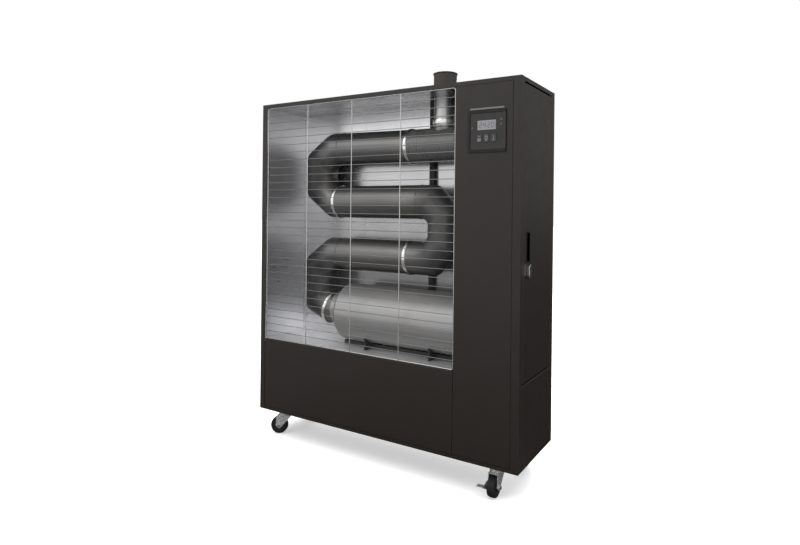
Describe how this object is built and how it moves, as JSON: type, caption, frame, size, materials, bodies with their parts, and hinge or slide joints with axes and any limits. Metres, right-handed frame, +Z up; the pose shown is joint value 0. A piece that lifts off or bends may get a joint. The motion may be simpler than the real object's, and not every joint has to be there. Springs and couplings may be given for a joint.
{
  "type": "diesel infrared heater",
  "caption": "Upright free-standing oil-fired radiant heater on casters: wire guard over a polished chamber with a serpentine tube, control column, side service door and flue spigot.",
  "frame": {"origin": "on the floor, under the middle of the cabinet", "axes": "+X to the right along the front, +Y to the back, +Z up"},
  "size_m": [1.0593, 0.342, 1.337],
  "materials": {
    "cabinet_paint": "warm black satin powder coat",
    "polished_sheet": "polished stainless reflector sheet",
    "galvanised_sheet": "galvanised",
    "plated_wire": "bright nickel plate",
    "drum_steel": "satin stainless",
    "tube_steel": "satin heat-dulled stainless",
    "bright_ring": "bright stainless band",
    "dark_iron": "dark heat-proof paint",
    "flue_black": "matt heat-proof black",
    "tank_paint": "grey-black paint",
    "black_plastic": "fine moulded texture",
    "seal_rubber": "matt",
    "pump_metal": "zinc plated",
    "copper_pipe": "drawn copper",
    "burner_paint": "die-cast",
    "motor_paint": "satin grey-black",
    "impeller_zinc": "galvanised",
    "screen_plastic": "clear window over a pale screen",
    "board_laminate": "green laminate",
    "button_plastic": "satin grey",
    "bright_knob": "chrome",
    "screw_zinc": "zinc",
    "caster_zinc": "zinc plated",
    "wheel_rubber": "black"
  },
  "bodies": {
    "cabinet": {"base_pan": "cabinet_paint", "top_cover": "cabinet_paint", "left_side_panel": "cabinet_paint", "back_panel": "cabinet_paint", "lower_front_panel": "cabinet_paint", "control_column_panel": "cabinet_paint", "front_corner_post": "cabinet_paint", "rear_corner_post": "cabinet_paint", "lower_side_panel": "cabinet_paint", "reflector_back": "polished_sheet", "reflector_left": "polished_sheet", "reflector_floor": "polished_sheet", "reflector_top": "polished_sheet", "partition_wall": "polished_sheet", "tank_deck": "galvanised_sheet", "hinge_brackets": "galvanised_sheet", "front_grille": "plated_wire", "combustion_drum": "drum_steel", "lower_radiant_tube": "tube_steel", "middle_radiant_tube": "tube_steel", "upper_radiant_tube": "tube_steel", "flue_tee": "tube_steel", "joint_rings": "bright_ring", "tube_supports": "dark_iron", "flue_spigot": "flue_black", "fuel_tank": "tank_paint", "filler_neck": "tank_paint", "control_box": "black_plastic", "power_inlet": "black_plastic", "fuel_pump": "pump_metal", "blast_tube": "pump_metal", "fuel_line": "copper_pipe", "burner_housing": "burner_paint", "burner_motor": "motor_paint", "ignition_transformer": "motor_paint", "display_window": "screen_plastic", "control_board": "board_laminate", "panel_screws": "screw_zinc", "caster_plates": "caster_zinc"},
    "door": {"service_door": "cabinet_paint", "door_pull": "black_plastic"},
    "latch": {"latch_knob": "bright_knob", "latch_cam": "galvanised_sheet"},
    "cap_seal": {"filler_gasket": "seal_rubber"},
    "cap": {"filler_cap": "black_plastic"},
    "blower": {"blower_impeller": "impeller_zinc"},
    "shutter": {"air_shutter": "burner_paint"},
    "button_a": {"button_1": "button_plastic"},
    "button_b": {"button_2": "button_plastic"},
    "button_c": {"button_3": "button_plastic"},
    "caster_front_left": {"caster_fork_front_left": "caster_zinc"},
    "wheel_front_left": {"caster_wheel_front_left": "wheel_rubber"},
    "caster_front_right": {"caster_fork_front_right": "caster_zinc"},
    "wheel_front_right": {"caster_wheel_front_right": "wheel_rubber"},
    "caster_rear_left": {"caster_fork_rear_left": "caster_zinc"},
    "wheel_rear_left": {"caster_wheel_rear_left": "wheel_rubber"},
    "caster_rear_right": {"caster_fork_rear_right": "caster_zinc"},
    "wheel_rear_right": {"caster_wheel_rear_right": "wheel_rubber"},
    "brake_front_right": {"brake_lever_front_right": "caster_zinc"},
    "brake_rear_right": {"brake_lever_rear_right": "caster_zinc"}
  },
  "joints": [
    {"name": "door_hinge", "type": "hinge", "parent": "cabinet", "child": "door", "pos_m": [0.519, 0.115, 0.8], "axis": [0, 0, 1], "range_deg": [0, 110]},
    {"name": "latch_turn", "type": "hinge", "parent": "door", "child": "latch", "pos_m": [0.525, -0.091, 0.686], "axis": [-1, 0, 0], "range_deg": [0, 90]},
    {"name": "filler_cap_lift", "type": "slide", "parent": "cabinet", "child": "cap_seal", "axis": [0, 0, 1], "range_m": [0, 0.08]},
    {"name": "filler_cap_turn", "type": "hinge", "parent": "cap_seal", "child": "cap", "pos_m": [0.463, -0.104, 0.376], "axis": [0, 0, 1], "range_deg": [0, 90]},
    {"name": "blower_spin", "type": "hinge", "parent": "cabinet", "child": "blower", "pos_m": [0.41, -0.028, 0.487], "axis": [0, 1, 0], "continuous": true},
    {"name": "air_shutter_swing", "type": "hinge", "parent": "cabinet", "child": "shutter", "pos_m": [0.41, -0.0693, 0.553], "axis": [0, 1, 0], "range_deg": [0, 35]},
    {"name": "button_a_press", "type": "slide", "parent": "cabinet", "child": "button_a", "axis": [0, 1, 0], "range_m": [0, 0.0015], "stiffness_N_per_m": 400},
    {"name": "button_b_press", "type": "slide", "parent": "cabinet", "child": "button_b", "axis": [0, 1, 0], "range_m": [0, 0.0015], "stiffness_N_per_m": 400},
    {"name": "button_c_press", "type": "slide", "parent": "cabinet", "child": "button_c", "axis": [0, 1, 0], "range_m": [0, 0.0015], "stiffness_N_per_m": 400},
    {"name": "swivel_front_left", "type": "hinge", "parent": "cabinet", "child": "caster_front_left", "pos_m": [-0.438, -0.105, 0.08], "axis": [0, 0, 1], "continuous": true},
    {"name": "roll_front_left", "type": "hinge", "parent": "caster_front_left", "child": "wheel_front_left", "pos_m": [-0.45794, -0.1143, 0.0325], "axis": [0.4226, -0.9063, 0], "continuous": true},
    {"name": "swivel_front_right", "type": "hinge", "parent": "cabinet", "child": "caster_front_right", "pos_m": [0.438, -0.105, 0.08], "axis": [0, 0, 1], "continuous": true},
    {"name": "roll_front_right", "type": "hinge", "parent": "caster_front_right", "child": "wheel_front_right", "pos_m": [0.438, -0.127, 0.0325], "axis": [1, 0, 0], "continuous": true},
    {"name": "brake_front_right_press", "type": "hinge", "parent": "caster_front_right", "child": "brake_front_right", "pos_m": [0.438, -0.127, 0.0325], "axis": [1, 0, 0], "range_deg": [0, 22]},
    {"name": "swivel_rear_left", "type": "hinge", "parent": "cabinet", "child": "caster_rear_left", "pos_m": [-0.438, 0.105, 0.08], "axis": [0, 0, 1], "continuous": true},
    {"name": "roll_rear_left", "type": "hinge", "parent": "caster_rear_left", "child": "wheel_rear_left", "pos_m": [-0.45867, 0.11252, 0.0325], "axis": [-0.342, -0.9397, 0], "continuous": true},
    {"name": "swivel_rear_right", "type": "hinge", "parent": "cabinet", "child": "caster_rear_right", "pos_m": [0.438, 0.105, 0.08], "axis": [0, 0, 1], "continuous": true},
    {"name": "roll_rear_right", "type": "hinge", "parent": "caster_rear_right", "child": "wheel_rear_right", "pos_m": [0.438, 0.127, 0.0325], "axis": [-1, 0, 0], "continuous": true},
    {"name": "brake_rear_right_press", "type": "hinge", "parent": "caster_rear_right", "child": "brake_rear_right", "pos_m": [0.438, 0.127, 0.0325], "axis": [-1, 0, 0], "range_deg": [0, 22]}
  ]
}
